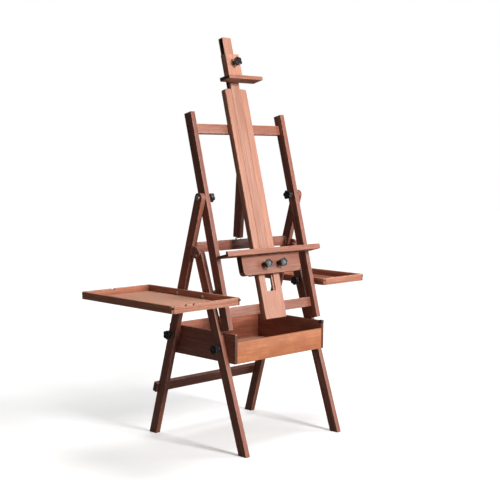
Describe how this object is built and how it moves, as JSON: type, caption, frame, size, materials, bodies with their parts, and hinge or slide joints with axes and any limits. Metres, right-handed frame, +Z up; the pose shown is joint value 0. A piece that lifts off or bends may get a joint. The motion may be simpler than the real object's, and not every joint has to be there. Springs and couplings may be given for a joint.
{
  "type": "artist easel",
  "caption": "Wooden H-frame studio easel with raked legs, storage box, side trays, tilting frame, slotted mast with sliding bar and top clamp, and canvas ledge.",
  "frame": {"origin": "on the floor, under the middle of the easel's whole extent with both trays", "axes": "+Z up; the artist stands on the -Y side; +X to the artist's right"},
  "size_m": [1.176, 0.549, 1.6049],
  "materials": {
    "stained_beech": "walnut-red stained beech, satin",
    "plywood": "thin stained plywood, satin",
    "black_plastic": "moulded black plastic",
    "steel": "zinc-plated steel"
  },
  "bodies": {
    "base": {"rear_leg_left": "stained_beech", "front_leg_left": "stained_beech", "hinge_block_left": "stained_beech", "hinge_bolt_left": "steel", "tilt_bolt_left": "steel", "tray_bolt_rear_left": "steel", "box_side_left": "stained_beech", "box_spacer_left": "stained_beech", "left_tray_floor": "plywood", "left_tray_outer_rail": "stained_beech", "left_tray_inner_rail": "stained_beech", "left_tray_front_rail": "stained_beech", "left_tray_back_rail": "stained_beech", "tray_spacer_left": "stained_beech", "rear_leg_right": "stained_beech", "front_leg_right": "stained_beech", "hinge_block_right": "stained_beech", "hinge_bolt_right": "steel", "tilt_bolt_right": "steel", "tray_bolt_rear_right": "steel", "box_side_right": "stained_beech", "box_spacer_right": "stained_beech", "right_tray_floor": "plywood", "right_tray_outer_rail": "stained_beech", "right_tray_inner_rail": "stained_beech", "right_tray_front_rail": "stained_beech", "right_tray_back_rail": "stained_beech", "tray_spacer_right": "stained_beech", "mid_rear_rail": "stained_beech", "lower_stretcher": "stained_beech", "strut_hinge": "steel", "box_front": "stained_beech", "box_back": "stained_beech", "box_floor": "plywood"},
    "strut": {"centre_strut": "stained_beech"},
    "frame": {"stile_left": "stained_beech", "stile_right": "stained_beech", "top_crossbar": "stained_beech", "bottom_crossbar": "stained_beech", "mast_board": "stained_beech"},
    "bar": {"sliding_bar": "stained_beech"},
    "clamp": {"top_clamp_block": "stained_beech", "top_clamp_shelf": "stained_beech"},
    "ledge": {"ledge_board": "stained_beech", "ledge_lip": "stained_beech", "ledge_apron": "stained_beech", "carriage_spacer_left": "stained_beech", "carriage_spacer_right": "stained_beech", "carriage_back_plate": "stained_beech"},
    "box_knob_rear_left": {"box_knob_rear_left": "black_plastic"},
    "box_knob_front_left": {"box_knob_front_left": "black_plastic"},
    "tray_knob_front_left": {"tray_knob_front_left": "black_plastic"},
    "tilt_knob_left": {"tilt_knob_left": "black_plastic"},
    "ledge_knob_left": {"ledge_knob_left": "black_plastic"},
    "box_knob_rear_right": {"box_knob_rear_right": "black_plastic"},
    "box_knob_front_right": {"box_knob_front_right": "black_plastic"},
    "tray_knob_front_right": {"tray_knob_front_right": "black_plastic"},
    "tilt_knob_right": {"tilt_knob_right": "black_plastic"},
    "ledge_knob_right": {"ledge_knob_right": "black_plastic"},
    "top_clamp_knob": {"top_clamp_knob": "black_plastic"}
  },
  "joints": [
    {"name": "frame_tilt", "type": "hinge", "parent": "base", "child": "frame", "pos_m": [0.04, -0.01132, 0.967], "axis": [-1, 0, 0], "range_deg": [0, 50]},
    {"name": "strut_swing", "type": "hinge", "parent": "base", "child": "strut", "pos_m": [0.04, 0.05698, 0.793], "axis": [-1, 0, 0], "range_deg": [0, 33]},
    {"name": "bar_slide", "type": "slide", "parent": "frame", "child": "bar", "axis": [0, 0.2588, 0.9659], "range_m": [-0.034, 0.45]},
    {"name": "clamp_slide", "type": "slide", "parent": "bar", "child": "clamp", "axis": [0, 0.2588, 0.9659], "range_m": [0, 0.065]},
    {"name": "ledge_slide", "type": "slide", "parent": "frame", "child": "ledge", "axis": [0, 0.2588, 0.9659], "range_m": [-0.1, 0.28]},
    {"name": "box_knob_rear_left_spin", "type": "hinge", "parent": "base", "child": "box_knob_rear_left", "pos_m": [-0.26, 0.1373, 0.42], "axis": [-1, 0, 0], "continuous": true},
    {"name": "box_knob_front_left_spin", "type": "hinge", "parent": "base", "child": "box_knob_front_left", "pos_m": [-0.25, -0.12035, 0.395], "axis": [-1, 0, 0], "continuous": true},
    {"name": "tray_knob_front_left_spin", "type": "hinge", "parent": "base", "child": "tray_knob_front_left", "pos_m": [-0.2, -0.05358, 0.5925], "axis": [1, 0, 0], "continuous": true},
    {"name": "tilt_knob_left_spin", "type": "hinge", "parent": "base", "child": "tilt_knob_left", "pos_m": [-0.19, -0.01132, 0.967], "axis": [1, 0, 0], "continuous": true},
    {"name": "ledge_knob_left_spin", "type": "hinge", "parent": "ledge", "child": "ledge_knob_left", "pos_m": [-0.0025, -0.1433, 0.70627], "axis": [0, -0.9659, 0.2588], "continuous": true},
    {"name": "box_knob_rear_right_spin", "type": "hinge", "parent": "base", "child": "box_knob_rear_right", "pos_m": [0.34, 0.1373, 0.42], "axis": [1, 0, 0], "continuous": true},
    {"name": "box_knob_front_right_spin", "type": "hinge", "parent": "base", "child": "box_knob_front_right", "pos_m": [0.33, -0.12035, 0.395], "axis": [1, 0, 0], "continuous": true},
    {"name": "tray_knob_front_right_spin", "type": "hinge", "parent": "base", "child": "tray_knob_front_right", "pos_m": [0.28, -0.04766, 0.61], "axis": [-1, 0, 0], "continuous": true},
    {"name": "tilt_knob_right_spin", "type": "hinge", "parent": "base", "child": "tilt_knob_right", "pos_m": [0.27, -0.01132, 0.967], "axis": [-1, 0, 0], "continuous": true},
    {"name": "ledge_knob_right_spin", "type": "hinge", "parent": "ledge", "child": "ledge_knob_right", "pos_m": [0.0825, -0.1433, 0.70627], "axis": [0, -0.9659, 0.2588], "continuous": true},
    {"name": "top_clamp_knob_spin", "type": "hinge", "parent": "clamp", "child": "top_clamp_knob", "pos_m": [0.04, 0.08067, 1.50347], "axis": [0, -0.9659, 0.2588], "continuous": true}
  ],
  "couplings": [
    {"joint": "strut_swing", "follows": "frame_tilt", "ratio": 0.64}
  ]
}
